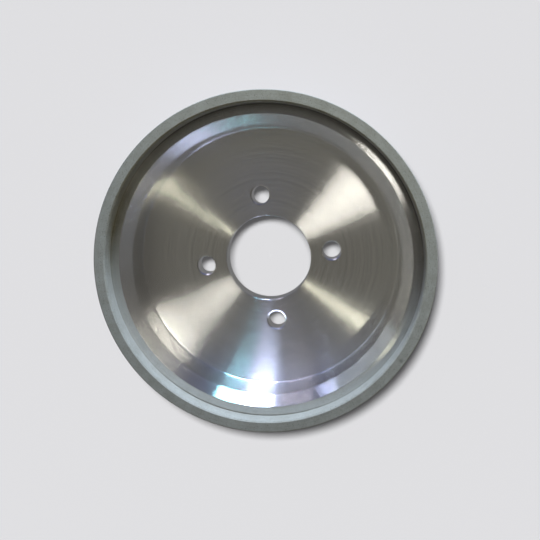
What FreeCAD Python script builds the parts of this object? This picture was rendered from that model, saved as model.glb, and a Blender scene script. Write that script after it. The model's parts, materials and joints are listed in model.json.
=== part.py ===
import FreeCAD, Part
import math
import os

# Cup grinding wheel: a turned aluminium body with an abrasive ring bonded on its rim.
# Millimetres. The origin is the centre of the flat back face, +Z runs along the bore towards the
# grinding face, and two of the four bolt holes lie on the X axis.

# Overall size
wheel_d = 150.0              # outside diameter of the rim and of the abrasive ring
wheel_t = 40.0               # back face to grinding face

# Abrasive ring
abrasive_w = 5.0             # radial width of the ring
abrasive_h = 8.5             # height above the seat that it is bonded to
abrasive_edge = 0.6          # chamfer dressed on the ring's two upper edges

# Cup recess in the body
recess_d = 122.0             # inside diameter of the cup
web_t = 10.0                 # thickness of the disc at the bottom of the cup
recess_floor_r = 0.8         # corner radius between the floor and the wall
mouth_bevel_w = 4.5          # radial width of the bevel at the mouth of the cup
mouth_bevel_angle = 49.0     # degrees from the floor
crest_rise = 1.4             # height of the bevel's upper edge above the ring's seat
crest_r = 0.4                # rounding of that edge, which the rim slopes down from to the ring's foot

# Bore and bolt holes
bore_d = 40.0
bore_chamfer = 0.3
bolt_circle_d = 60.0
bolt_count = 4
bolt_hole_d = 8.4            # clearance for M8
bolt_chamfer = 0.4

# Edges of the body
back_chamfer = 1.0           # outer edge of the back face
edge_break = 0.3             # top of the cup wall

# Worked out from the sizes above
wheel_r = wheel_d / 2
ring_inner_r = wheel_r - abrasive_w
seat_z = wheel_t - abrasive_h
recess_r = recess_d / 2
crest_radius = recess_r + mouth_bevel_w
crest_z = seat_z + crest_rise
bevel_foot_z = crest_z - mouth_bevel_w * math.tan(math.radians(mouth_bevel_angle))
bore_r = bore_d / 2

match_tolerance = 1e-4


def point(radius, height):
    """A point of a turned profile, in the XZ plane."""
    return FreeCAD.Vector(radius, 0, height)


def turned(edges):
    """One full turn of a closed profile about the bore axis."""
    face = Part.Face(Part.Wire(edges))
    return face.revolve(FreeCAD.Vector(0, 0, 0), FreeCAD.Vector(0, 0, 1), 360)


def lines_through(points):
    """Straight edges from each point to the next."""
    return [Part.LineSegment(start, end).toShape() for start, end in zip(points, points[1:])]


def circles_at(shape, radius, height):
    """The shape's circular edges about the bore axis at one radius and height."""
    found = []
    for edge in shape.Edges:
        curve = edge.Curve
        if not isinstance(curve, Part.Circle):
            continue
        on_axis = math.hypot(curve.Center.x, curve.Center.y) < match_tolerance
        if on_axis and abs(curve.Radius - radius) < match_tolerance and \
                abs(curve.Center.z - height) < match_tolerance:
            found.append(edge)
    return found


def drill(radius, depth, chamfer):
    """A through hole along Z from height 0, with a chamfer at each mouth."""
    mouth = radius + chamfer
    lower = Part.makeCone(mouth, radius, chamfer)
    barrel = Part.makeCylinder(radius, depth)
    upper = Part.makeCone(radius, mouth, chamfer, FreeCAD.Vector(0, 0, depth - chamfer))
    return barrel.fuse([lower, upper])


def bolt_holes():
    """The drilled holes, spaced evenly round the bolt circle."""
    holes = []
    for index in range(bolt_count):
        angle = 2 * math.pi * index / bolt_count
        hole = drill(bolt_hole_d / 2, web_t, bolt_chamfer)
        hole.translate(FreeCAD.Vector(math.cos(angle), math.sin(angle), 0) * (bolt_circle_d / 2))
        holes.append(hole)
    return holes


def wheel_body():
    """The turned body: back face, rim, seat, crest, bevelled mouth, cup and web."""
    blank = turned(lines_through([
        point(0, 0),
        point(wheel_r, 0),
        point(wheel_r, seat_z),
        point(ring_inner_r, seat_z),
        point(crest_radius, crest_z),
        point(recess_r, bevel_foot_z),
        point(recess_r, web_t),
        point(0, web_t),
        point(0, 0),
    ]))
    blank = blank.makeFillet(recess_floor_r, circles_at(blank, recess_r, web_t))
    blank = blank.makeFillet(crest_r, circles_at(blank, crest_radius, crest_z))
    blank = blank.makeChamfer(back_chamfer, circles_at(blank, wheel_r, 0))
    blank = blank.makeChamfer(edge_break, circles_at(blank, recess_r, bevel_foot_z))
    return blank.cut([drill(bore_r, web_t, bore_chamfer)] + bolt_holes())


def abrasive_ring():
    """The moulded ring, bonded face to face on its seat on the rim."""
    ring = turned(lines_through([
        point(ring_inner_r, seat_z),
        point(wheel_r, seat_z),
        point(wheel_r, wheel_t),
        point(ring_inner_r, wheel_t),
        point(ring_inner_r, seat_z),
    ]))
    upper_edges = circles_at(ring, wheel_r, wheel_t) + circles_at(ring, ring_inner_r, wheel_t)
    return ring.makeChamfer(abrasive_edge, upper_edges)


parts = {
    "wheel_body": wheel_body(),
    "abrasive_ring": abrasive_ring(),
}

os.makedirs("parts", exist_ok=True)
for name, shape in parts.items():
    solid = shape.Solids[0]
    solid.exportStep(os.path.join("parts", name + ".step"))
    box = solid.optimalBoundingBox()
    print(name, "solids", len(shape.Solids), "valid", solid.isValid(),
          "volume %.1f cm3" % (solid.Volume / 1000),
          "z %.2f to %.2f" % (box.ZMin, box.ZMax))
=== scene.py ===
# %% [markdown]
# # A cup grinding wheel
# A cup wheel grinds with its rim. A turned aluminium cup is bolted to a flange on the machine,
# and a ring of grey vitrified abrasive is bonded on its rim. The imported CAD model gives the
# sizes and the place of every piece. This lesson turns the two pieces again with a finer
# surface, gives them their finishes, and lights them as in a small photo studio.

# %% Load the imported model
import json
import math

import bpy
from mathutils import Matrix, Vector


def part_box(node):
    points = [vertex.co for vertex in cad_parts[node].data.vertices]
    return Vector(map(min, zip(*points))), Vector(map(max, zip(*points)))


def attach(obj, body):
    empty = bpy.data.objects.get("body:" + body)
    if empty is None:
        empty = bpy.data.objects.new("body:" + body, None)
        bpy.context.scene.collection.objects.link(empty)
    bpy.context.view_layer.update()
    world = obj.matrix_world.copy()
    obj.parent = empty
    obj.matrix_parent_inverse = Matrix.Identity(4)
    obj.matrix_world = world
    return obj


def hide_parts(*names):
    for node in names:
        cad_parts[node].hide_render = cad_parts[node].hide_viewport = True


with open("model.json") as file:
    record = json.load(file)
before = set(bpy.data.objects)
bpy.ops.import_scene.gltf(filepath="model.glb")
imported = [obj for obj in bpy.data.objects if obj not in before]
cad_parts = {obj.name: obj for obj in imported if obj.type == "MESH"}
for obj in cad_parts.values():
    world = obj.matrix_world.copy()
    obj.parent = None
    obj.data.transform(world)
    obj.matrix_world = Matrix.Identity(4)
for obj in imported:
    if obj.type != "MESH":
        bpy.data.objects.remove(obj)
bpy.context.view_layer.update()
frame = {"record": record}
record = frame["record"]

# %% [markdown]
# The drawing's sizes are in millimetres and Blender works in metres, so one number turns one
# into the other. Colours are written as on a screen, in sRGB hex, and shaders want them linear.
# Every tree in this lesson, for shapes and for finishes alike, is built with one small function
# that adds a node, sets its properties and fills or links its inputs.

# %% Units, colours and nodes
MM = 0.001


def linear(hex_colour, alpha=1.0):
    """An sRGB hex colour as linear red, green, blue and alpha."""
    channels = [int(hex_colour[i:i + 2], 16) / 255 for i in (1, 3, 5)]
    return tuple(c / 12.92 if c <= 0.04045 else ((c + 0.055) / 1.055) ** 2.4
                 for c in channels) + (alpha,)


def add_node(tree, kind, inputs=None, **settings):
    """Adds a node, sets its properties, and gives each named input a value or a link."""
    node = tree.nodes.new(kind)
    for name, value in settings.items():
        setattr(node, name, value)
    for name, value in (inputs or {}).items():
        if isinstance(value, bpy.types.NodeSocket):
            tree.links.new(value, node.inputs[name])
        else:
            node.inputs[name].default_value = value
    return node


# %% [markdown]
# Both pieces are bodies of revolution, so each starts as its section, the shape that a saw cut
# through the axis would show. A corner of the section is a radius and a height, with a rounding
# where the tool left one. No real edge is perfectly sharp, and a rounding of a tenth of a
# millimetre is enough to catch a thin line of light. An extra point on each side of a rounding
# keeps the flat beside it flat when the surface is shaded smoothly.

# %% Draw a section
SUPPORT = 0.1                   # mm from a rounding to the extra point beside it
ARC_STEPS = 6                   # straight steps in a rounding


def section(corners):
    """Points of a closed section from corners of (radius, height, rounding), in mm."""
    points = []
    for i, (r, z, rounding) in enumerate(corners):
        here = Vector((r, z))
        before = Vector(corners[i - 1][:2]) - here
        after = Vector(corners[(i + 1) % len(corners)][:2]) - here
        half = before.angle(after) / 2
        reach = rounding / math.tan(half)
        centre = here + (before.normalized() + after.normalized()).normalized() * (
            rounding / math.sin(half))
        start = here + before.normalized() * reach
        end = here + after.normalized() * reach
        points.append(start + before.normalized() * SUPPORT)
        for step in range(ARC_STEPS + 1):
            along = start.lerp(end, step / ARC_STEPS) - centre
            points.append(centre + along.normalized() * rounding)
        points.append(end + after.normalized() * SUPPORT)
    return points


def section_object(name, corners):
    """A closed loop of edges in the XZ plane, the outline that is turned."""
    points = [(p.x * MM, 0, p.y * MM) for p in section(corners)]
    mesh = bpy.data.meshes.new(name)
    mesh.from_pydata(points, [(i, (i + 1) % len(points)) for i in range(len(points))], [])
    made = bpy.data.objects.new(name, mesh)
    bpy.context.scene.collection.objects.link(made)
    print(name, "section of", len(points), "points")
    return made


# %% [markdown]
# A lathe turns the work and the tool's path becomes a surface. Geometry Nodes can do the same:
# a grid has one column for each step of the turn and one row for each point of the section,
# and each grid point looks up its section point by index and is turned about the axis. The
# seams are then merged. Compared with the Screw modifier or bmesh's spin, this keeps the
# section live while it is being drawn, and the drilled holes can follow in the same tree.

# %% The lathe, as a node tree
SHARP_ANGLE = math.radians(25)  # edges that bend more than this stay sharp when shaded
DRILL_STEPS = 96                # sides of the drill
MERGE = 1e-6                    # metres, closes the seams of the turn
LEVEL_FACE = 0.95               # a face whose normal is this upright or more counts as level
MOUTH_MARGIN = 1.01             # takes in the faces that end exactly at a hole's mouth


def turning_tree():
    """A tree that turns the object's closed section about Z and drills through holes."""
    tree = bpy.data.node_groups.new("turn and drill", "GeometryNodeTree")
    for name, kind, default in (
            ("Section", "NodeSocketGeometry", None),
            ("Turn Steps", "NodeSocketInt", 360),
            ("Sharp Angle", "NodeSocketFloat", SHARP_ANGLE),
            ("Hole Count", "NodeSocketInt", 0),
            ("Hole Circle Radius", "NodeSocketFloat", 0.03),
            ("Hole Radius", "NodeSocketFloat", 0.0042),
            ("Chamfer Width", "NodeSocketFloat", 0.0004),
            ("Chamfer Depth", "NodeSocketFloat", 0.0004),
            ("Plate Thickness", "NodeSocketFloat", 0.01),
            ("Finish", "NodeSocketMaterial", None),
            ("Hole Finish", "NodeSocketMaterial", None)):
        socket = tree.interface.new_socket(name, in_out="INPUT", socket_type=kind)
        if default is not None:
            socket.default_value = default
    tree.interface.new_socket("Piece", in_out="OUTPUT", socket_type="NodeSocketGeometry")
    given = add_node(tree, "NodeGroupInput").outputs

    # The turn: grid point -> step of the turn and point of the section
    size = add_node(tree, "GeometryNodeAttributeDomainSize", {"Geometry": given["Section"]})
    rows = add_node(tree, "FunctionNodeIntegerMath",
                    {0: size.outputs["Point Count"], 1: 1}, operation="ADD").outputs[0]
    columns = add_node(tree, "FunctionNodeIntegerMath",
                       {0: given["Turn Steps"], 1: 1}, operation="ADD").outputs[0]
    grid = add_node(tree, "GeometryNodeMeshGrid", {"Vertices X": columns, "Vertices Y": rows})
    index = add_node(tree, "GeometryNodeInputIndex").outputs[0]
    step = add_node(tree, "FunctionNodeIntegerMath", {0: index, 1: rows},
                    operation="DIVIDE_FLOOR").outputs[0]
    row = add_node(tree, "FunctionNodeIntegerMath", {0: index, 1: rows},
                   operation="MODULO").outputs[0]
    section_point = add_node(tree, "FunctionNodeIntegerMath",
                             {0: row, 1: size.outputs["Point Count"]},
                             operation="MODULO").outputs[0]
    place = add_node(tree, "GeometryNodeInputPosition").outputs[0]
    looked_up = add_node(tree, "GeometryNodeSampleIndex",
                         {"Geometry": given["Section"], "Value": place,
                          "Index": section_point}, data_type="FLOAT_VECTOR")
    one_step = add_node(tree, "ShaderNodeMath", {0: 2 * math.pi, 1: given["Turn Steps"]},
                        operation="DIVIDE").outputs[0]
    angle = add_node(tree, "ShaderNodeMath", {0: step, 1: one_step},
                     operation="MULTIPLY").outputs[0]
    turned = add_node(tree, "ShaderNodeVectorRotate",
                      {"Vector": looked_up.outputs["Value"], "Angle": angle},
                      rotation_type="Z_AXIS").outputs[0]
    surface = add_node(tree, "GeometryNodeSetPosition",
                       {"Geometry": grid.outputs["Mesh"], "Position": turned})
    closed = add_node(tree, "GeometryNodeMergeByDistance",
                      {"Geometry": surface.outputs[0], "Distance": MERGE})

    # The drill: a barrel with a cone at each mouth, copied round the bolt circle
    over = add_node(tree, "ShaderNodeMath", {0: given["Plate Thickness"], 1: 2.0},
                    operation="MULTIPLY").outputs[0]
    barrel = add_node(tree, "GeometryNodeMeshCylinder",
                      {"Vertices": DRILL_STEPS, "Radius": given["Hole Radius"],
                       "Depth": over})
    mouth = add_node(tree, "ShaderNodeMath", {0: given["Hole Radius"], 1: given["Chamfer Width"]},
                     operation="ADD").outputs[0]
    cones = []
    for top, bottom, face in ((mouth, given["Hole Radius"], 1), (given["Hole Radius"], mouth, -1)):
        half = add_node(tree, "ShaderNodeMath", {0: given["Plate Thickness"], 1: 0.5 * face},
                        operation="MULTIPLY").outputs[0]
        inset = add_node(tree, "ShaderNodeMath",
                         {0: given["Chamfer Depth"], 1: -0.5 * face - 0.5, 2: half},
                         operation="MULTIPLY_ADD").outputs[0]
        where = add_node(tree, "ShaderNodeCombineXYZ", {"Z": inset}).outputs[0]
        cone = add_node(tree, "GeometryNodeMeshCone",
                        {"Vertices": DRILL_STEPS, "Radius Top": top, "Radius Bottom": bottom,
                         "Depth": given["Chamfer Depth"]})
        cones.append(add_node(tree, "GeometryNodeTransform",
                              {"Geometry": cone.outputs["Mesh"],
                               "Translation": where}).outputs[0])
    drill = add_node(tree, "GeometryNodeMeshBoolean", operation="UNION", solver="EXACT")
    for shape in (barrel.outputs["Mesh"], *cones):
        tree.links.new(shape, drill.inputs["Mesh 2"])
    circle = add_node(tree, "GeometryNodeMeshCircle",
                      {"Vertices": given["Hole Count"], "Radius": given["Hole Circle Radius"]})
    lift = add_node(tree, "ShaderNodeMath", {0: given["Plate Thickness"], 1: 0.5},
                    operation="MULTIPLY").outputs[0]
    middle = add_node(tree, "ShaderNodeCombineXYZ", {"Z": lift}).outputs[0]
    raised = add_node(tree, "GeometryNodeTransform",
                      {"Geometry": circle.outputs["Mesh"], "Translation": middle})
    drills = add_node(tree, "GeometryNodeInstanceOnPoints",
                      {"Points": raised.outputs[0], "Instance": drill.outputs["Mesh"]})
    solid_drills = add_node(tree, "GeometryNodeRealizeInstances",
                            {"Geometry": drills.outputs["Instances"]})
    drilled = add_node(tree, "GeometryNodeMeshBoolean",
                       {"Mesh 1": closed.outputs[0], "Mesh 2": solid_drills.outputs[0]},
                       operation="DIFFERENCE", solver="EXACT")
    has_holes = add_node(tree, "FunctionNodeCompare", {2: given["Hole Count"], 3: 2},
                         data_type="INT", operation="GREATER_THAN").outputs[0]
    shape = add_node(tree, "GeometryNodeSwitch",
                     {"Switch": has_holes, "False": closed.outputs[0],
                      "True": drilled.outputs["Mesh"]}, input_type="GEOMETRY").outputs[0]

    # Smooth shading that breaks at the corners of chamfers, and the finish
    smooth = add_node(tree, "GeometryNodeSetShadeSmooth",
                      {"Geometry": shape, "Shade Smooth": True}, domain="FACE")
    bend = add_node(tree, "GeometryNodeInputMeshEdgeAngle").outputs["Unsigned Angle"]
    corner = add_node(tree, "FunctionNodeCompare", {0: bend, 1: given["Sharp Angle"]},
                      data_type="FLOAT", operation="GREATER_THAN").outputs[0]
    creased = add_node(tree, "GeometryNodeSetShadeSmooth",
                       {"Geometry": smooth.outputs[0], "Selection": corner, "Shade Smooth": False},
                       domain="EDGE")
    real = add_node(tree, "GeometryNodeRealizeInstances", {"Geometry": creased.outputs[0]})
    turned_all = add_node(tree, "GeometryNodeSetMaterial",
                          {"Geometry": real.outputs[0], "Material": given["Finish"]})

    # A drilled face lies within a hole's mouth and isn't level
    parts = add_node(tree, "ShaderNodeSeparateXYZ", {0: place}).outputs
    beside = add_node(tree, "ShaderNodeCombineXYZ",
                      {"X": parts["X"], "Y": parts["Y"], "Z": lift}).outputs[0]
    to_hole = add_node(tree, "GeometryNodeProximity",
                       {"Geometry": raised.outputs[0], "Sample Position": beside},
                       target_element="POINTS").outputs["Distance"]
    rim = add_node(tree, "ShaderNodeMath", {0: mouth, 1: MOUTH_MARGIN},
                   operation="MULTIPLY").outputs[0]
    inside = add_node(tree, "FunctionNodeCompare", {0: to_hole, 1: rim},
                      data_type="FLOAT", operation="LESS_THAN").outputs[0]
    facing = add_node(tree, "GeometryNodeInputNormal").outputs[0]
    upward = add_node(tree, "ShaderNodeSeparateXYZ", {0: facing}).outputs["Z"]
    slope = add_node(tree, "ShaderNodeMath", {0: upward}, operation="ABSOLUTE").outputs[0]
    steep = add_node(tree, "FunctionNodeCompare", {0: slope, 1: LEVEL_FACE},
                     data_type="FLOAT", operation="LESS_THAN").outputs[0]
    in_hole = add_node(tree, "FunctionNodeBooleanMath", {0: inside, 1: steep},
                       operation="AND").outputs[0]
    drilled_too = add_node(tree, "FunctionNodeBooleanMath", {0: in_hole, 1: has_holes},
                           operation="AND").outputs[0]
    finished = add_node(tree, "GeometryNodeSetMaterial",
                        {"Geometry": turned_all.outputs[0], "Selection": drilled_too,
                         "Material": given["Hole Finish"]})
    add_node(tree, "NodeGroupOutput", {"Piece": finished.outputs[0]})
    return tree


lathe = turning_tree()
print("lathe tree with", len(lathe.nodes), "nodes")


# %% [markdown]
# The tree's result is made a plain mesh at once, so that each piece ends as an ordinary object
# at the origin. The signed volume tells which way the faces point: it is positive when they all
# point outwards, and a section drawn the other way round only needs its faces flipped.

# %% Turn a piece
def signed_volume(mesh):
    """The volume that the faces close in, in cubic metres, negative if they point inwards."""
    mesh.calc_loop_triangles()
    total = 0.0
    for triangle in mesh.loop_triangles:
        a, b, c = (mesh.vertices[i].co for i in triangle.vertices)
        total += a.dot(b.cross(c)) / 6
    return total


def turn(name, corners, **sizes):
    """Turns a section into a finished piece with the lathe tree."""
    outline = section_object(name + "_section", corners)
    modifier = outline.modifiers.new("lathe", "NODES")
    modifier.node_group = lathe
    sockets = {item.name: item.identifier for item in lathe.interface.items_tree
               if item.item_type == "SOCKET" and item.in_out == "INPUT"}
    for socket_name, value in sizes.items():
        modifier[sockets[socket_name.replace("_", " ")]] = value
    evaluated = outline.evaluated_get(bpy.context.evaluated_depsgraph_get())
    mesh = bpy.data.meshes.new_from_object(evaluated)
    mesh.name = name
    bpy.data.objects.remove(outline)
    if signed_volume(mesh) < 0:
        mesh.flip_normals()
    piece = bpy.data.objects.new(name, mesh)
    bpy.context.scene.collection.objects.link(piece)
    print(name, len(mesh.polygons), "faces,", "%.1f cm3" % (signed_volume(mesh) * 1e6))
    return piece


# %% [markdown]
# ## Turned aluminium
# The cup is cast or forged aluminium that was faced and bored on a lathe and left bare. The
# round nose of the tool leaves a scallop at each turn, so a section of the surface is a row of
# shallow hollows. Light that falls across the hollows is spread wide, and light that runs
# along them hardly at all, so a turned disc shows bright spokes that point at the lamps and
# stays dark between them. The scallops lean the surface's normal in and out, and an
# anisotropic gloss, whose tangent runs round the axis, adds the finer scratches in them. A
# quarter turn of the tangent lays the wide side of that gloss across the grooves.

# %% Sizes of the turning marks
FEED = 0.12 * MM                # the tool moves out by this much in a turn
SCALLOP_SLOPE = 0.45            # steepness at the edge of a hollow, as rise over run
PASS_WIDTH = 1.4 * MM           # wider bands from the feed and the wear of the tool
CHATTER_WIDTH = 1.5 * MM        # the tool trembles, so the grooves stray from true circles
CHATTER = 0.03                  # by this slope at most, which frays the edges of the spokes
HANDLING = 22 * MM              # patches dulled by handling


def turned_aluminium():
    """Bare aluminium, fine turned: bright metal with grooves round the axis."""
    material = bpy.data.materials.new("aluminium_fine_turned")
    material.use_nodes = True
    tree = material.node_tree
    tree.nodes.clear()
    place = add_node(tree, "ShaderNodeTexCoord").outputs["Object"]
    flat = add_node(tree, "ShaderNodeVectorMath", {0: place, 1: (1, 1, 0)},
                    operation="MULTIPLY").outputs["Vector"]
    radius = add_node(tree, "ShaderNodeVectorMath", {0: flat}, operation="LENGTH").outputs["Value"]
    height = add_node(tree, "ShaderNodeSeparateXYZ", {0: place}).outputs["Z"]
    along = add_node(tree, "ShaderNodeMath", {0: radius, 1: height}, operation="ADD").outputs[0]
    normal = add_node(tree, "ShaderNodeNewGeometry").outputs["Normal"]
    round_axis = add_node(tree, "ShaderNodeVectorMath", {0: (0, 0, 1), 1: flat},
                          operation="CROSS_PRODUCT").outputs["Vector"]
    circle = add_node(tree, "ShaderNodeVectorMath", {0: round_axis},
                      operation="NORMALIZE").outputs["Vector"]
    outward = add_node(tree, "ShaderNodeVectorMath", {0: circle, 1: normal},
                       operation="CROSS_PRODUCT").outputs["Vector"]
    chatter = add_node(tree, "ShaderNodeTexNoise",
                       {"W": along, "Scale": 1 / CHATTER_WIDTH, "Detail": 4.0,
                        "Roughness": 0.7}, noise_dimensions="1D").outputs[0]
    drift = add_node(tree, "ShaderNodeMapRange",
                     {"Value": chatter, "From Min": 0.2, "From Max": 0.8,
                      "To Min": -CHATTER, "To Max": CHATTER}).outputs[0]
    aside = add_node(tree, "ShaderNodeVectorMath", {0: outward, "Scale": drift},
                     operation="SCALE").outputs["Vector"]
    wavy = add_node(tree, "ShaderNodeVectorMath", {0: circle, 1: aside},
                    operation="ADD").outputs["Vector"]
    tangent = add_node(tree, "ShaderNodeVectorMath", {0: wavy},
                       operation="NORMALIZE").outputs["Vector"]

    wander = add_node(tree, "ShaderNodeTexNoise",
                      {"W": along, "Scale": 1 / (6 * FEED), "Detail": 2.0},
                      noise_dimensions="1D").outputs[0]
    turns = add_node(tree, "ShaderNodeMath", {0: along, 1: 1 / FEED, 2: wander},
                     operation="MULTIPLY_ADD").outputs[0]
    across = add_node(tree, "ShaderNodeMath", {0: turns}, operation="FRACT").outputs[0]
    side = add_node(tree, "ShaderNodeMapRange",
                    {"Value": across, "To Min": -1.0, "To Max": 1.0}).outputs[0]
    steep = add_node(tree, "ShaderNodeMath", {0: side}, operation="ABSOLUTE").outputs[0]
    curve = add_node(tree, "ShaderNodeMath", {0: side, 1: steep}, operation="MULTIPLY").outputs[0]
    lean = add_node(tree, "ShaderNodeMath", {0: curve, 1: SCALLOP_SLOPE},
                    operation="MULTIPLY").outputs[0]
    uphill = add_node(tree, "ShaderNodeVectorMath", {0: tangent, 1: normal},
                      operation="CROSS_PRODUCT").outputs["Vector"]
    leaning = add_node(tree, "ShaderNodeVectorMath", {0: uphill, "Scale": lean},
                       operation="SCALE").outputs["Vector"]
    leant = add_node(tree, "ShaderNodeVectorMath", {0: normal, 1: leaning},
                     operation="ADD").outputs["Vector"]
    groove_normal = add_node(tree, "ShaderNodeVectorMath", {0: leant},
                             operation="NORMALIZE").outputs["Vector"]

    grooves = add_node(tree, "ShaderNodeTexNoise",
                       {"W": along, "Scale": 1 / (2 * FEED), "Detail": 3.0,
                        "Roughness": 0.65}, noise_dimensions="1D").outputs[0]
    passes = add_node(tree, "ShaderNodeTexNoise",
                      {"W": along, "Scale": 1 / PASS_WIDTH, "Detail": 2.0,
                       "Roughness": 0.5}, noise_dimensions="1D").outputs[0]
    handling = add_node(tree, "ShaderNodeTexNoise",
                        {"Vector": place, "Scale": 1 / HANDLING, "Detail": 4.0,
                         "Roughness": 0.55}).outputs[0]
    relief = add_node(tree, "ShaderNodeMath", {0: passes, 1: 0.6, 2: grooves},
                      operation="MULTIPLY_ADD").outputs[0]
    gloss = add_node(tree, "ShaderNodeMapRange",
                     {"Value": relief, "From Min": 0.5, "From Max": 1.1,
                      "To Min": 0.19, "To Max": 0.22}).outputs[0]
    dulled = add_node(tree, "ShaderNodeMapRange",
                      {"Value": handling, "From Min": 0.45, "From Max": 0.75,
                       "To Min": 0.0, "To Max": 0.02}).outputs[0]
    roughness = add_node(tree, "ShaderNodeMath", {0: gloss, 1: dulled},
                         operation="ADD").outputs[0]
    tone = add_node(tree, "ShaderNodeMapRange",
                    {"Value": relief, "From Min": 0.5, "From Max": 1.1}).outputs[0]
    colour = add_node(tree, "ShaderNodeMix",
                      {"Factor": tone, 6: linear("#D4D4D3"), 7: linear("#E8E7E4")},
                      data_type="RGBA").outputs[2]
    shader = add_node(tree, "ShaderNodeBsdfPrincipled",
                      {"Base Color": colour, "Metallic": 1.0, "Roughness": roughness,
                       "Anisotropic": 1.0, "Anisotropic Rotation": 0.25,
                       "Tangent": tangent, "Normal": groove_normal})
    add_node(tree, "ShaderNodeOutputMaterial", {"Surface": shader.outputs[0]})
    return material


def drilled_aluminium():
    """Bare aluminium, drilled and countersunk: plain bright metal that mirrors softly."""
    material = bpy.data.materials.new("aluminium_drilled")
    material.use_nodes = True
    tree = material.node_tree
    tree.nodes.clear()
    add_node(tree, "ShaderNodeOutputMaterial",
             {"Surface": add_node(tree, "ShaderNodeBsdfPrincipled",
                                  {"Base Color": linear("#DEDDDB"), "Metallic": 1.0,
                                   "Roughness": 0.24}).outputs[0]})
    return material


aluminium = turned_aluminium()
hole_aluminium = drilled_aluminium()
print("finishes", aluminium.name, hole_aluminium.name)

# %% [markdown]
# ## Vitrified abrasive
# The ring is abrasive grit held by a glassy bond, pressed and fired. It is full of pores, so
# it is matt and a little speckled: light grains, dark pores, and a slightly rough surface that
# was dressed flat with a diamond, which leaves faint rings. The grains are far smaller than a
# pixel, so they are drawn coarser. The ring's wall has a thin dark line of adhesive at the joint,
# and on one side a painted shade darkens the wall much higher up, where it faces away from the
# window. The grinding face has one small dark dint.

# %% Sizes of the grit and the joint
GRAIN = 0.28 * MM               # real grit about 0.1 mm, drawn coarser so that it shows
PORE = 0.9 * MM
CLOUD = 6 * MM                  # faint lighter and darker areas of the bond
DRESSING = 0.5 * MM             # faint rings left by the dressing tool
RELIEF = 0.08 * MM
SEAT_HEIGHT = 31.5 * MM
JOINT_STAIN = 0.12 * MM         # height of the adhesive's stain over the seat
DEEP_PAINTED_SHADE = 4.0 * MM           # height of the painted shade over the seat, on the side facing away from the window
SHADED_SIDE = (0.44, 0.90, 0)    # which way that side lies
DINT = Vector((54.8, -48.1, 40.0)) * MM
DINT_R = 1.4 * MM


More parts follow.
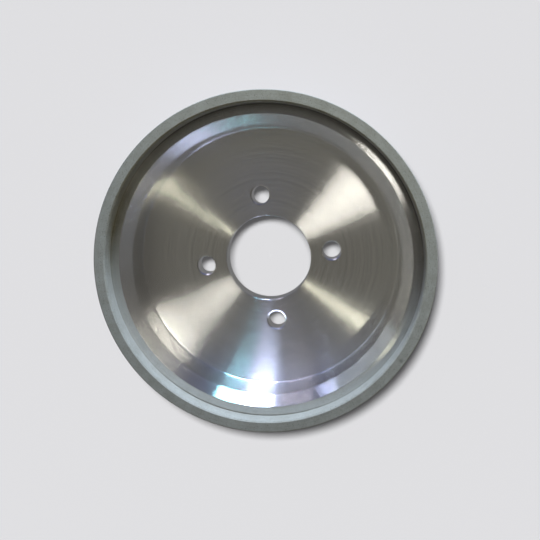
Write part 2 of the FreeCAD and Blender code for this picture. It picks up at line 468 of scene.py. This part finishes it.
def vitrified_abrasive():
    """Grey vitrified grinding abrasive: matt, porous and finely speckled."""
    material = bpy.data.materials.new("abrasive_vitrified_bond")
    material.use_nodes = True
    tree = material.node_tree
    tree.nodes.clear()
    place = add_node(tree, "ShaderNodeTexCoord").outputs["Object"]
    grains = add_node(tree, "ShaderNodeTexVoronoi",
                      {"Vector": place, "Scale": 1 / GRAIN, "Randomness": 1.0})
    speckle = add_node(tree, "ShaderNodeSeparateXYZ", {0: grains.outputs["Color"]}).outputs["X"]
    cloud = add_node(tree, "ShaderNodeTexNoise",
                     {"Vector": place, "Scale": 1 / CLOUD, "Detail": 5.0,
                      "Roughness": 0.6}).outputs[0]
    flat = add_node(tree, "ShaderNodeVectorMath", {0: place, 1: (1, 1, 0)},
                    operation="MULTIPLY").outputs["Vector"]
    radius = add_node(tree, "ShaderNodeVectorMath", {0: flat}, operation="LENGTH").outputs["Value"]
    height = add_node(tree, "ShaderNodeSeparateXYZ", {0: place}).outputs["Z"]
    along = add_node(tree, "ShaderNodeMath", {0: radius, 1: height}, operation="ADD").outputs[0]
    dressed = add_node(tree, "ShaderNodeTexNoise",
                       {"W": along, "Scale": 1 / DRESSING, "Detail": 3.0},
                       noise_dimensions="1D").outputs[0]
    streaked = add_node(tree, "ShaderNodeMath", {0: dressed, 1: 0.35, 2: cloud},
                        operation="MULTIPLY_ADD").outputs[0]
    mottled = add_node(tree, "ShaderNodeMath", {0: speckle, 1: 0.35, 2: streaked},
                       operation="MULTIPLY_ADD").outputs[0]
    tone = add_node(tree, "ShaderNodeMapRange",
                    {"Value": mottled, "From Min": 0.45, "From Max": 1.25}).outputs[0]
    bonded = add_node(tree, "ShaderNodeMix",
                      {"Factor": tone, 6: linear("#868375"), 7: linear("#A3A093")},
                      data_type="RGBA").outputs[2]
    pores = add_node(tree, "ShaderNodeTexVoronoi",
                     {"Vector": place, "Scale": 1 / PORE, "Randomness": 1.0})
    pit = add_node(tree, "ShaderNodeMapRange",
                   {"Value": pores.outputs["Distance"], "From Min": 0.12, "From Max": 0.2,
                    "To Min": 1.0, "To Max": 0.0}).outputs[0]
    pitted = add_node(tree, "ShaderNodeMix",
                      {"Factor": pit, 6: bonded, 7: linear("#605F55")},
                      data_type="RGBA").outputs[2]
    outward = add_node(tree, "ShaderNodeVectorMath", {0: flat},
                       operation="NORMALIZE").outputs["Vector"]
    toward = add_node(tree, "ShaderNodeVectorMath", {0: outward, 1: SHADED_SIDE},
                      operation="DOT_PRODUCT").outputs["Value"]
    # The adhesive's thin dark line runs all round the joint. On one side it rises into painted
    # shade, which darkens the wall where it faces away from the window.
    stain_and_shade_top = add_node(tree, "ShaderNodeMapRange",
                         {"Value": toward, "From Min": 0.4, "From Max": 0.95,
                          "To Min": SEAT_HEIGHT + JOINT_STAIN,
                          "To Max": SEAT_HEIGHT + DEEP_PAINTED_SHADE}).outputs[0]
    stain_and_shade = add_node(tree, "ShaderNodeMapRange",
                     {"Value": height, "From Min": SEAT_HEIGHT, "From Max": stain_and_shade_top,
                      "To Min": 1.0, "To Max": 0.0}).outputs[0]
    stained_and_shaded = add_node(tree, "ShaderNodeMix",
                       {"Factor": stain_and_shade, 6: pitted, 7: linear("#2B2A27")},
                       data_type="RGBA").outputs[2]
    to_dint = add_node(tree, "ShaderNodeVectorMath", {0: place, 1: DINT},
                       operation="DISTANCE").outputs["Value"]
    dint = add_node(tree, "ShaderNodeMapRange",
                    {"Value": to_dint, "From Min": 0.2 * DINT_R, "From Max": DINT_R,
                     "To Min": 0.45, "To Max": 0.0}).outputs[0]
    colour = add_node(tree, "ShaderNodeMix",
                      {"Factor": dint, 6: stained_and_shaded, 7: linear("#4A4836")},
                      data_type="RGBA").outputs[2]
    relief = add_node(tree, "ShaderNodeMath", {0: pit, 1: -1.5, 2: mottled},
                      operation="MULTIPLY_ADD").outputs[0]
    bump = add_node(tree, "ShaderNodeBump",
                    {"Height": relief, "Strength": 0.6, "Distance": RELIEF})
    shader = add_node(tree, "ShaderNodeBsdfPrincipled",
                      {"Base Color": colour, "Roughness": 0.85, "Normal": bump.outputs[0]})
    add_node(tree, "ShaderNodeOutputMaterial", {"Surface": shader.outputs[0]})
    return material


abrasive = vitrified_abrasive()
print("finish", abrasive.name)

# %% [markdown]
# ## The cup
# The section starts at the bore's lower mouth and runs round the outside: flat back, rim, the
# seat under the abrasive ring, the ledge that slopes up to the crest, the bevelled mouth, the
# wall, the corner at the floor, and the web back to the bore. The bore and the bolt circle come
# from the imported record, and the rest are the drawing's sizes.
#
# The bolt holes' chamfers have the slope of a drill's point, about 31 degrees. At that slope
# they mirror the cup's wall, and the wall, a hollow mirror, gathers the window's light on the
# hole halfway to it. That hole gets the bright arc, and the other three stay dull.

# %% Turn the cup
mounts = {mount["name"]: mount for mount in record["mounts"]}
BORE_R = mounts["bore"]["dims"]["r_mm"]
BOLT_CIRCLE_R = mounts["bolt_circle"]["dims"]["pcd_mm"] / 2
BOLT_COUNT = mounts["bolt_circle"]["dims"]["count"]
BOLT_HOLE_R = mounts["bolt_circle"]["dims"]["hole_r_mm"]

RING_WIDTH = 5.0
WALL_R = 61.0                   # inside radius of the cup
WEB_T = 10.0                    # thickness of the cup's bottom
BEVEL_WIDTH = 4.5
BEVEL_SLOPE = math.tan(math.radians(49))
CREST_RISE = 1.4                # the bevel's upper edge over the ring's seat
BACK_CHAMFER = 1
BORE_CHAMFER = 0.3
FOOT_IN, FOOT_DOWN = 0.2, 0.3   # the edge between the bevel and the wall, broken by this much
DRILL_POINT = {"Chamfer_Width": 0.55 * MM, "Chamfer_Depth": 0.33 * MM}

wheel_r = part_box("wheel_body")[1].x / MM
wheel_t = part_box("abrasive_ring")[1].z / MM
seat_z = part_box("abrasive_ring")[0].z / MM
ring_inner_r = wheel_r - RING_WIDTH
crest_r, crest_z = WALL_R + BEVEL_WIDTH, seat_z + CREST_RISE
foot_z = crest_z - (crest_r - WALL_R) * BEVEL_SLOPE

cup = turn("cup_body", [
    (BORE_R + BORE_CHAMFER, 0, 0.05),
    (wheel_r - BACK_CHAMFER, 0, 0.1),
    (wheel_r, BACK_CHAMFER, 0.1),
    (wheel_r, seat_z, 0.05),
    (ring_inner_r, seat_z, 0.02),
    (crest_r, crest_z, 0.15),
    (WALL_R + FOOT_IN, foot_z + FOOT_IN * BEVEL_SLOPE, 0.1),
    (WALL_R, foot_z - FOOT_DOWN, 0.1),
    (WALL_R, WEB_T, 0.8),
    (BORE_R + BORE_CHAMFER, WEB_T, 0.05),
    (BORE_R, WEB_T - BORE_CHAMFER, 0.05),
    (BORE_R, BORE_CHAMFER, 0.05),
], Hole_Count=BOLT_COUNT, Hole_Circle_Radius=BOLT_CIRCLE_R * MM,
    Hole_Radius=BOLT_HOLE_R * MM, Plate_Thickness=WEB_T * MM, **DRILL_POINT,
    Finish=aluminium, Hole_Finish=hole_aluminium)

# %% [markdown]
# ## The abrasive ring
# The ring is a plain rectangle in section, with its two upper edges dressed to a chamfer, the
# inner one wider than the outer. Its edges are a little rounder than the metal's, because grit
# breaks out of a sharp corner.

# %% Turn the ring
OUTER_EDGE = 0.25
INNER_EDGE = 0.6

ring = turn("abrasive_rim", [
    (ring_inner_r, seat_z, 0.02),
    (wheel_r, seat_z, 0.05),
    (wheel_r, wheel_t - OUTER_EDGE, 0.1),
    (wheel_r - OUTER_EDGE, wheel_t, 0.1),
    (ring_inner_r + INNER_EDGE, wheel_t, 0.15),
    (ring_inner_r, wheel_t - INNER_EDGE, 0.15),
], Finish=abrasive)

# %% Hang the pieces on the root and hide the imported ones
for piece, node, slot in ((cup, "wheel_body", "turned_aluminium"),
                          (ring, "abrasive_ring", "vitrified_abrasive")):
    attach(piece, "root")
    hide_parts(node)

# %% [markdown]
# ## The floor
# The wheel lies on pale paper that bends up to a wall all round, so every side view has the same
# quiet background. Near the wheel the paper is lit, on a low albedo, so that it keeps the wheel's
# shadow but not the light that bounces off the metal. Farther out it glows in its own even
# colour, and reflections see it dimmer. The spot under the wheel, which shows through the bore
# and the holes, is a sheet of its own, because another lamp lights it.

# %% Lay the paper
PAPER = "#DFDFE1"
PAPER_ALBEDO = 0.1              # as a share of the paper's own colour, so that it bounces little
LAMP_SHARE = 0.88               # share of the paper's brightness near the wheel from its lamp
LAMP_PLACE = Vector((20.6, 84.0, 415.0)) * MM
SPOT_R = 60 * MM                # the paper under the wheel that is seen through its holes
LIT_TO, OWN_FROM = 0.25, 0.45   # metres from the axis where lit paper turns into glowing paper
MIRRORED_FAR = 0.3              # brightness of the glowing paper in reflections


def rings_mesh(name, outline, steps=96):
    """A round surface from rings of points, in metres; the outline gives radius and height."""
    points = []
    faces = []
    for row, (r, z) in enumerate(outline):
        for step in range(steps):
            turn_angle = 2 * math.pi * step / steps
            points.append((r * math.cos(turn_angle), r * math.sin(turn_angle), z))
            if row > 0:
                here, after = row * steps + step, row * steps + (step + 1) % steps
                faces.append((here - steps, here, after, after - steps))
    mesh = bpy.data.meshes.new(name)
    mesh.from_pydata(points, [], faces)
    mesh.polygons.foreach_set("use_smooth", [True] * len(faces))
    return mesh


def sweep_outline(radius, bend, top):
    """Level paper from the wheel outwards that bends up into a wall."""
    bent = [(radius - bend + bend * math.sin(math.radians(a)),
             bend - bend * math.cos(math.radians(a))) for a in range(0, 91, 6)]
    return [(SPOT_R, 0), (0.4, 0), (1.2, 0)] + bent + [(radius, top)]


def paper(name, mirrored_near, near_lamp):
    """Matt pale paper that shows its own colour and keeps a soft shadow."""
    material = bpy.data.materials.new(name)
    material.use_nodes = True
    tree = material.node_tree
    tree.nodes.clear()
    ray = add_node(tree, "ShaderNodeLightPath").outputs
    seen = add_node(tree, "ShaderNodeMath",
                    {0: ray["Is Camera Ray"], 1: ray["Is Transmission Ray"]},
                    operation="MAXIMUM").outputs[0]
    place = add_node(tree, "ShaderNodeTexCoord").outputs["Object"]
    reach = add_node(tree, "ShaderNodeVectorMath", {0: place}, operation="LENGTH").outputs["Value"]
    far = add_node(tree, "ShaderNodeMapRange",
                   {"Value": reach, "From Min": LIT_TO, "From Max": OWN_FROM}).outputs[0]
    own = add_node(tree, "ShaderNodeMapRange",
                   {"Value": far, "To Min": 1 - LAMP_SHARE, "To Max": 1.0}).outputs[0]
    mirrored = add_node(tree, "ShaderNodeMapRange",
                        {"Value": far, "To Min": mirrored_near,
                         "To Max": MIRRORED_FAR}).outputs[0]
    seen_glow = add_node(tree, "ShaderNodeMath", {0: own, 1: seen},
                         operation="MULTIPLY").outputs[0]
    glow = add_node(tree, "ShaderNodeMath",
                    {0: mirrored, 1: ray["Is Glossy Ray"], 2: seen_glow},
                    operation="MULTIPLY_ADD").outputs[0]
    shown = add_node(tree, "ShaderNodeEmission", {"Color": linear(PAPER), "Strength": glow})
    hidden = add_node(tree, "ShaderNodeMath", {0: far, 1: ray["Is Glossy Ray"]},
                      operation="MAXIMUM").outputs[0]
    # A near lamp's light falls off as the cube of its distance on level paper
    to_lamp = add_node(tree, "ShaderNodeVectorMath", {0: place, 1: LAMP_PLACE},
                       operation="DISTANCE").outputs["Value"]
    spread = add_node(tree, "ShaderNodeMath", {0: to_lamp, 1: LAMP_PLACE.z},
                      operation="DIVIDE").outputs[0]
    evened = add_node(tree, "ShaderNodeMath", {0: spread, 1: 3.0 if near_lamp else 0.0},
                      operation="POWER").outputs[0]
    toned = add_node(tree, "ShaderNodeVectorMath",
                     {0: tuple(v * PAPER_ALBEDO for v in linear(PAPER))[:3],
                      "Scale": evened},
                     operation="SCALE").outputs["Vector"]
    albedo = add_node(tree, "ShaderNodeMix", {"Factor": hidden, 6: toned, 7: (0, 0, 0, 1)},
                      data_type="RGBA").outputs[2]
    lit = add_node(tree, "ShaderNodeBsdfDiffuse", {"Color": albedo})
    both = add_node(tree, "ShaderNodeAddShader", {0: shown.outputs[0], 1: lit.outputs[0]})
    add_node(tree, "ShaderNodeOutputMaterial", {"Surface": both.outputs[0]})
    material.cycles.emission_sampling = "NONE"
    return material


sheets = []
for name, outline, mirrored_near, near_lamp in (
        ("paper_sweep", sweep_outline(4.0, 0.8, 1.2), 0.12, True),
        ("paper_spot", [(0.0001, 0), (SPOT_R, 0)], MIRRORED_FAR, False)):
    sheet = bpy.data.objects.new(name, rings_mesh(name, outline))
    sheet.data.materials.append(paper(name + "_matt", mirrored_near, near_lamp))
    bpy.context.scene.collection.objects.link(sheet)
    sheets.append(sheet)
floor, spot = sheets
print("paper with", len(floor.data.polygons) + len(spot.data.polygons), "faces")

# %% [markdown]
# ## The light
# Turned metal shows where the lamps are, so the lamps stand where the wheel's spokes point: a
# round warm one almost overhead, a small one at the right, and low behind the wheel a window
# with a pale pane, a blue-green one and three dimmer ones. The matt ring has two lamps of its
# own, the bluish window and a near warm box, so that it is warm behind and cooler in front. A
# lamp's brightness is given as the share of full white that it puts on a level surface.
#
# The spot under the wheel has a wide lamp, for a soft shadow inside the holes. The paper round
# it is lit by a bulb close above the wheel, which draws the shadow as a narrow soft edge.

# %% Hang the lamps
def group(name, *members):
    """A collection that only says which objects a lamp lights."""
    made = bpy.data.collections.new(name)
    for member in members:
        made.objects.link(member)
    return made


metal_only = group("lit_metal", cup)
grit_only = group("lit_grit", ring)
paper_only = group("lit_paper", floor)
spot_only = group("lit_spot", spot)


def soft_box(name, azimuth, elevation, distance, width, height, level, colour, lights,
             shape="RECTANGLE"):
    """An area lamp aimed at the wheel that gives a level white surface that share of white."""
    lamp = bpy.data.lights.new(name, "AREA")
    lamp.shape = shape
    lamp.size, lamp.size_y = width, height
    lamp.color = linear(colour)[:3]
    lamp.energy = level * math.pi ** 2 * distance ** 2 / math.sin(math.radians(elevation))
    made = bpy.data.objects.new(name, lamp)
    away = Vector((math.cos(math.radians(azimuth)) * math.cos(math.radians(elevation)),
                   math.sin(math.radians(azimuth)) * math.cos(math.radians(elevation)),
                   math.sin(math.radians(elevation))))
    made.location = away * distance + Vector((0, 0, 0.02))
    made.rotation_euler = away.to_track_quat("Z", "Y").to_euler()
    bpy.context.scene.collection.objects.link(made)
    made.light_linking.receiver_collection = lights
    return made


# Azimuth and elevation in degrees, then distance, width and height in metres, then the level
soft_box("box_overhead", 25.2, 69, 0.9, 0.23, 0.12, 0.132, "#FFFBF2", metal_only,
         shape="ELLIPSE")
soft_box("window_pale", 84.9, 16, 1.2, 0.27, 0.12, 0.68, "#CCD6FF", metal_only)
soft_box("window_teal", 71.3, 16, 1.2, 0.22, 0.12, 0.12, "#9CE2F8", metal_only)
soft_box("window_dim", 104, 30, 1.2, 0.30, 0.08, 0.03, "#E4DCEC", metal_only)
soft_box("window_far", 118.5, 13, 1.2, 0.17, 0.05, 0.010, "#C6D0FF", metal_only)
soft_box("window_side", 137, 15, 1.2, 0.80, 0.10, 0.022, "#D6E2E8", metal_only)
soft_box("box_right", -64, 66, 0.9, 0.040, 0.06, 0.025, "#FFFCE4", metal_only)
soft_box("window_low", 73, 14, 1.2, 0.5, 0.12, 0.64, "#C8DDFF", grit_only)
soft_box("box_near", 60, 42, 0.35, 0.1, 0.08, 0.108, "#FFF060", grit_only)
soft_box("paper_light", 98, 71, 9.0, 4.4, 2.0, 10.2 * LAMP_SHARE, "#FFFFFF", spot_only)

BULB_LEVEL = 9.85               # brings the paper to its own colour with that albedo
bulb = bpy.data.lights.new("bulb_paper", "POINT")
bulb.shadow_soft_size = 0.025
bulb.energy = BULB_LEVEL * LAMP_SHARE * 4 * math.pi ** 2 * LAMP_PLACE.z ** 2
hung = bpy.data.objects.new("bulb_paper", bulb)
hung.location = LAMP_PLACE
bpy.context.scene.collection.objects.link(hung)
hung.light_linking.receiver_collection = paper_only

# The room round the table: warmer to the left, blue where the sky shows behind the wheel
LEFT = (-0.99, 0.12, 0)
BEHIND = (-0.09, 0.996, 0)
world = bpy.data.worlds.new("dim_room")
bpy.context.scene.world = world
world.use_nodes = True
world.node_tree.nodes.clear()
rays = add_node(world.node_tree, "ShaderNodeLightPath").outputs
way = add_node(world.node_tree, "ShaderNodeTexCoord").outputs["Generated"]
toward_left = add_node(world.node_tree, "ShaderNodeVectorMath", {0: way, 1: LEFT},
                       operation="DOT_PRODUCT").outputs["Value"]
left = add_node(world.node_tree, "ShaderNodeMapRange",
                {"Value": toward_left, "From Min": -0.8, "From Max": 0.8}).outputs[0]
warm = add_node(world.node_tree, "ShaderNodeMix",
                {"Factor": left, 6: linear("#4C4946"), 7: linear("#85837B")},
                data_type="RGBA").outputs[2]
toward_back = add_node(world.node_tree, "ShaderNodeVectorMath", {0: way, 1: BEHIND},
                       operation="DOT_PRODUCT").outputs["Value"]
back = add_node(world.node_tree, "ShaderNodeMapRange",
                {"Value": toward_back, "From Min": 0.3, "From Max": 0.9,
                 "To Max": 0.9}).outputs[0]
walls = add_node(world.node_tree, "ShaderNodeMix",
                 {"Factor": back, 6: warm, 7: linear("#6272B4")},
                 data_type="RGBA").outputs[2]
room = add_node(world.node_tree, "ShaderNodeBackground", {"Color": walls, "Strength": 1.0})
beyond = add_node(world.node_tree, "ShaderNodeBackground", {"Color": linear(PAPER)})
sky = add_node(world.node_tree, "ShaderNodeMixShader",
               {0: rays["Is Camera Ray"], 1: room.outputs[0], 2: beyond.outputs[0]})
add_node(world.node_tree, "ShaderNodeOutputWorld", {"Surface": sky.outputs[0]})

# %% [markdown]
# ## The camera
# The photograph was taken from above, a little off the axis and slightly turned. The place,
# the aim and the lens come from fitting the wheel's circles to the picture.

# %% Set up the camera
CAMERA_PLACE = Vector((38.5, 37.4, 352.8)) * MM
CAMERA_AIM = Vector((3.29, -2.04, 40.0)) * MM
CAMERA_ROLL = math.radians(7.46)
FOCAL_LENGTH = 48.82

lens = bpy.data.cameras.new("camera")
lens.lens = FOCAL_LENGTH
lens.sensor_width = 36.0
lens.clip_start, lens.clip_end = 0.01, 20
camera = bpy.data.objects.new("camera", lens)
forward = (CAMERA_AIM - CAMERA_PLACE).normalized()
level_up = (Vector((0, 1, 0)) - forward * forward.y).normalized()
level_right = forward.cross(level_up)
up = level_up * math.cos(CAMERA_ROLL) + level_right * math.sin(CAMERA_ROLL)
right = forward.cross(up)
camera.matrix_world = Matrix([[right.x, up.x, -forward.x, CAMERA_PLACE.x],
                              [right.y, up.y, -forward.y, CAMERA_PLACE.y],
                              [right.z, up.z, -forward.z, CAMERA_PLACE.z],
                              [0, 0, 0, 1]])
bpy.context.scene.collection.objects.link(camera)
bpy.context.scene.camera = camera
bpy.context.scene.view_settings.view_transform = "Standard"
print("camera at", [round(v / MM, 1) for v in CAMERA_PLACE])
